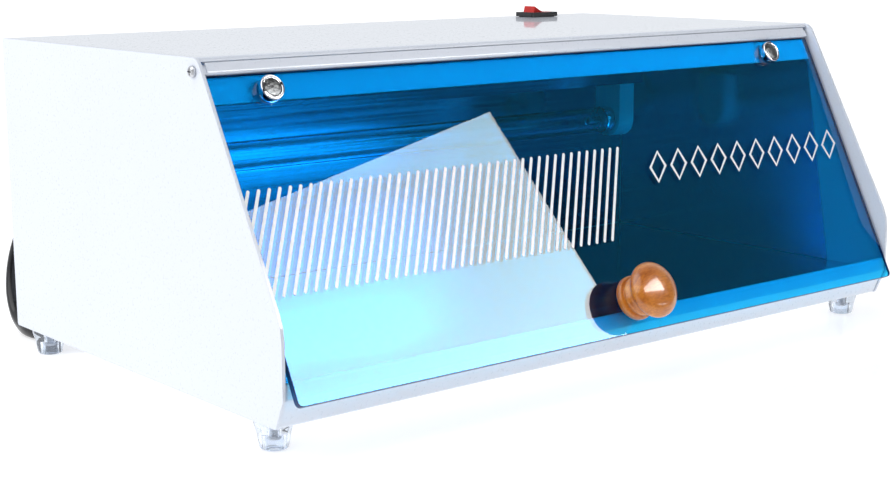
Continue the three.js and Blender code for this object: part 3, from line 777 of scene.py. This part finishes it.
def add_feet():
    profile = [(3.6, 0.2), (4.2, 0), (5.3, 0), (5.9, 0.35), (6.25, 1.1), (6.8, 4), (7.4, 7.4)]
    profile += [(8.1, 9.6), (8.4, 10.6), (8.5, 11.4), (8.5, 12.5), (8.3, 12.7), (2, 12.7), (2, 6.5)]
    profile += [(3.6, 6.5), (3.6, 0.2)]
    for name in [n for n in NODES if n.startswith("foot_") and "screw" not in n]:
        space = Matrix.Translation(Vector((*centre(name).xy, 0)))
        foot = turned(in_metres(profile), 64, space)
        foot = add_piece(f"moulded_{name}", foot, "cabinet", "clear_rubber", CLEAR_RUBBER)
        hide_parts(name)


def add_lamp():
    middle = centre("uv_tube")
    space = Matrix.Translation(middle) @ Matrix.Rotation(math.pi / 2, 4, "Y")
    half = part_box("uv_tube")[1].x / MM
    profile = [(6.85, -half), (7.75, -half), (7.75, half), (6.85, half), (6.85, -half)]
    tube = add_piece(
        "lamp_tube", turned(in_metres(profile), 96, space), "lamp", "quartz_glass", QUARTZ
    )
    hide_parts("uv_tube")
    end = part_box("lamp_cap_right")[1].x / MM - 6.4
    for side, way in (("left", -1), ("right", 1)):
        turn = Matrix.Translation(middle) @ Matrix.Rotation(way * math.pi / 2, 4, "Y")
        profile = [(0, end - 17.8), (1.2, end - 17.6), (2.4, end - 16.6), (2.4, end - 6.8)]
        profile += [(7.9, end - 6.8), (8.2, end - 6.4), (8.2, end - 4.2), (7.9, end - 3.9)]
        profile += [(7.9, end - 3.4), (8.2, end - 3.1), (8.2, end - 0.6), (7.6, end), (0, end)]
        shell = turned(in_metres(profile), 64, turn)
        pin = [(0, end - 0.5), (1.2, end - 0.5), (1.2, end + 5.8), (0.8, end + 6.3), (0, end + 6.4)]
        for y in (-2.5, 2.5):
            pin_space = Matrix.Translation((0, y * MM, 0)) @ turn
            pin_shape = turned(in_metres(pin), 24, pin_space)
            mesh = bpy.data.meshes.new("pin")
            pin_shape.to_mesh(mesh)
            pin_shape.free()
            shell.from_mesh(mesh)
            bpy.data.meshes.remove(mesh)
        cap = add_piece(f"lamp_end_{side}", shell, "lamp", "plated_steel", STEEL)
        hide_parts(f"lamp_cap_{side}")


def add_rocker():
    """The rocker's top is a shallow V, so that each end stands up in turn."""
    joint = next(j for j in frame["joints"] if j["name"] == "switch_rock")
    tilt = math.radians(14)
    half, middle, rise, curve = 7.3, 2.8, 1.75, 1.25
    space = Matrix.Translation(Vector(joint["pos_m"])) @ Matrix.Rotation(tilt, 4, "Y")
    shape = bmesh.new()
    steps = [half * (k / 8 - 1) for k in range(17)]
    outline = [(x, middle + rise * (abs(x) / half) ** curve) for x in steps]
    outline += [(7.2, -1.4), (6.2, -1.9), (1.6, -3.8), (0, -4.1), (-1.6, -3.8), (-6.2, -1.9), (-7.2, -1.4)]
    rows = []
    for y, shrink in ((-4.85, 0.25), (-4.6, 0), (4.6, 0), (4.85, 0.25)):
        row = []
        for x, z in outline:
            drawn_in = x - math.copysign(min(shrink, abs(x)), x)
            row.append(shape.verts.new(space @ (Vector((drawn_in, y, z - shrink * 0.6)) * MM)))
        rows.append(row)
    count = len(outline)
    for low, high in zip(rows, rows[1:]):
        for k in range(count):
            shape.faces.new([low[k], low[(k + 1) % count], high[(k + 1) % count], high[k]])
    shape.faces.new(rows[0])
    shape.faces.new(rows[-1][::-1])
    rocker = add_piece("rocker", shape, "rocker", "red_plastic", RED, smooth=35)
    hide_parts("switch_rocker")

    at, proud, mark_size = 4.6, 0.02, (0.45 * MM, 3.4 * MM, 0.1 * MM)
    height = middle + rise * (at / half) ** curve
    slope = math.atan(rise * curve / half * (at / half) ** (curve - 1))
    mark = Matrix.Translation(Vector((at, 0, height + proud)) * MM) @ Matrix.Rotation(-slope, 4, "Y")
    marks = bmesh.new()
    add_box(marks, space @ mark, mark_size)
    add_piece("rocker_mark", marks, "rocker", "white_paint", INK)


# ---------------------------------------------------------------- studio

def flat_stage(name, corners, material):
    """A flat card or floor that isn't part of the object."""
    shape = bmesh.new()
    shape.faces.new([shape.verts.new(corner) for corner in corners])
    mesh = bpy.data.meshes.new(name)
    shape.to_mesh(mesh)
    shape.free()
    mesh.materials.append(material)
    made = bpy.data.objects.new(name, mesh)
    bpy.context.scene.collection.objects.link(made)
    return made


def add_stage():
    """A white glossy floor, whose front part mirrors and clear pieces see as dim blue."""
    s = Shader("floor", Roughness=0.03, Base_Color=(0.62, 0.62, 0.63, 1), IOR=1.15)
    s.surface.inputs["Emission Color"].default_value = (1, 1, 1, 1)
    s.surface.inputs["Emission Strength"].default_value = 0.56
    dim = s.node("ShaderNodeBsdfDiffuse")
    dim.inputs["Color"].default_value = (0.018, 0.02, 0.06, 1)
    parts = s.node("ShaderNodeSeparateXYZ")
    ahead = s.node("ShaderNodeMapRange")
    for key, value in (("From Min", -0.19), ("From Max", -0.30), ("To Min", 0), ("To Max", 1)):
        ahead.inputs[key].default_value = value
    both = s.node("ShaderNodeMath", operation="MULTIPLY")
    choose = s.node("ShaderNodeMixShader")
    s.link(s.place, parts.inputs["Vector"])
    s.link(parts.outputs["Y"], ahead.inputs["Value"])
    s.link(ahead.outputs["Result"], both.inputs[0])
    s.link(s.node("ShaderNodeLightPath").outputs["Is Glossy Ray"], both.inputs[1])
    s.link(both.outputs["Value"], choose.inputs["Fac"])
    s.link(s.surface.outputs["BSDF"], choose.inputs[1])
    s.link(dim.outputs["BSDF"], choose.inputs[2])
    s.link(choose.outputs["Shader"], s.tree.nodes["Material Output"].inputs["Surface"])
    half = 14
    corners = [(-half, -half, 0), (half, -half, 0), (half, half, 0), (-half, half, 0)]
    flat_stage("floor", corners, s.material)


def add_world():
    """White to the camera. As a light it is bright behind the cabinet and dim in front of it."""
    world = bpy.data.worlds.new("studio")
    bpy.context.scene.world = world
    world.use_nodes = True
    tree = world.node_tree
    place = tree.nodes.new("ShaderNodeTexCoord")
    parts = tree.nodes.new("ShaderNodeSeparateXYZ")
    span = tree.nodes.new("ShaderNodeMapRange")
    span.interpolation_type = "SMOOTHSTEP"
    for key, value in (("From Min", -0.45), ("From Max", 0.35), ("To Min", 0.02), ("To Max", 0.86)):
        span.inputs[key].default_value = value
    seen = tree.nodes.new("ShaderNodeMath")
    seen.operation = "MAXIMUM"
    background = tree.nodes["Background"]
    background.inputs["Color"].default_value = (0.945, 0.97, 1.0, 1)
    tree.links.new(place.outputs["Generated"], parts.inputs["Vector"])
    tree.links.new(parts.outputs["Y"], span.inputs["Value"])
    tree.links.new(span.outputs["Result"], seen.inputs[0])
    light_path = tree.nodes.new("ShaderNodeLightPath")
    to_camera = tree.nodes.new("ShaderNodeMath")
    to_camera.operation = "MULTIPLY"
    to_camera.inputs[1].default_value = 1.1
    tree.links.new(light_path.outputs["Is Camera Ray"], to_camera.inputs[0])
    tree.links.new(to_camera.outputs["Value"], seen.inputs[1])
    tree.links.new(seen.outputs["Value"], background.inputs["Strength"])


def add_sun(name, toward, strength, angle, colour=(1, 1, 1)):
    data = bpy.data.lights.new(name, "SUN")
    data.energy = strength
    data.angle = math.radians(angle)
    data.color = colour
    sun = bpy.data.objects.new(name, data)
    sun.rotation_euler = Vector(toward).to_track_quat("-Z", "Y").to_euler()
    bpy.context.scene.collection.objects.link(sun)
    return sun


def add_card(name, corners, high, low, top, bottom):
    """A card that only mirrors and clear pieces see, with its glow fading over a span of heights."""
    s = Shader(name, Base_Color=(0, 0, 0, 1), Roughness=1.0)
    s.surface.inputs["Emission Color"].default_value = (1, 1, 1, 1)
    parts = s.node("ShaderNodeSeparateXYZ")
    fade = s.node("ShaderNodeMapRange")
    for key, value in (("From Min", bottom), ("From Max", top), ("To Min", low), ("To Max", high)):
        fade.inputs[key].default_value = value
    s.link(s.place, parts.inputs["Vector"])
    s.link(parts.outputs["Z"], fade.inputs["Value"])
    s.link(fade.outputs["Result"], s.surface.inputs["Emission Strength"])
    card = flat_stage(name, corners, s.material)
    card.visible_camera = False
    card.visible_diffuse = False
    card.visible_shadow = False


def add_reflectors():
    """One card beyond the right of the door, which its face mirrors, and one low in front."""
    eye = CAMERA.matrix_world.translation
    far = 0.9
    corners = []
    for x, down in ((-50.6, 27.2), (0.9, 177.2), (-420, 177.2), (-420, 112.2)):
        point = on_door(x * MM, down * MM)
        ray = (point - eye).normalized()
        mirrored = ray - 2 * ray.dot(OUT) * OUT
        corners.append(point + mirrored * far)
    heights = [corner.z for corner in corners]
    add_card("reflector", corners, 7.0, 14.0, max(heights), min(heights))
    z = 0.002
    low_card = [(0.16, -0.75, z), (0.42, -0.75, z), (0.42, -0.4, z), (0.16, -0.4, z)]
    add_card("low_card", low_card, 4.0, 4.0, 1.0, 0.0)


def light_studio():
    add_world()
    add_sun("key", (0.58, 0.05, -0.63), 1.68, 70, (0.98, 0.99, 1.0))
    add_sun("fill", (-0.5, 0.75, -0.42), 0.75, 60).visible_glossy = False


# ---------------------------------------------------------------- the object

bpy.context.scene.view_settings.view_transform = "Standard"
add_cord()
finish_cad_nodes()
add_acrylic()
add_print()
add_knob()
add_caps()
add_feet()
add_lamp()
add_rocker()
add_stage()
light_studio()
add_reflectors()
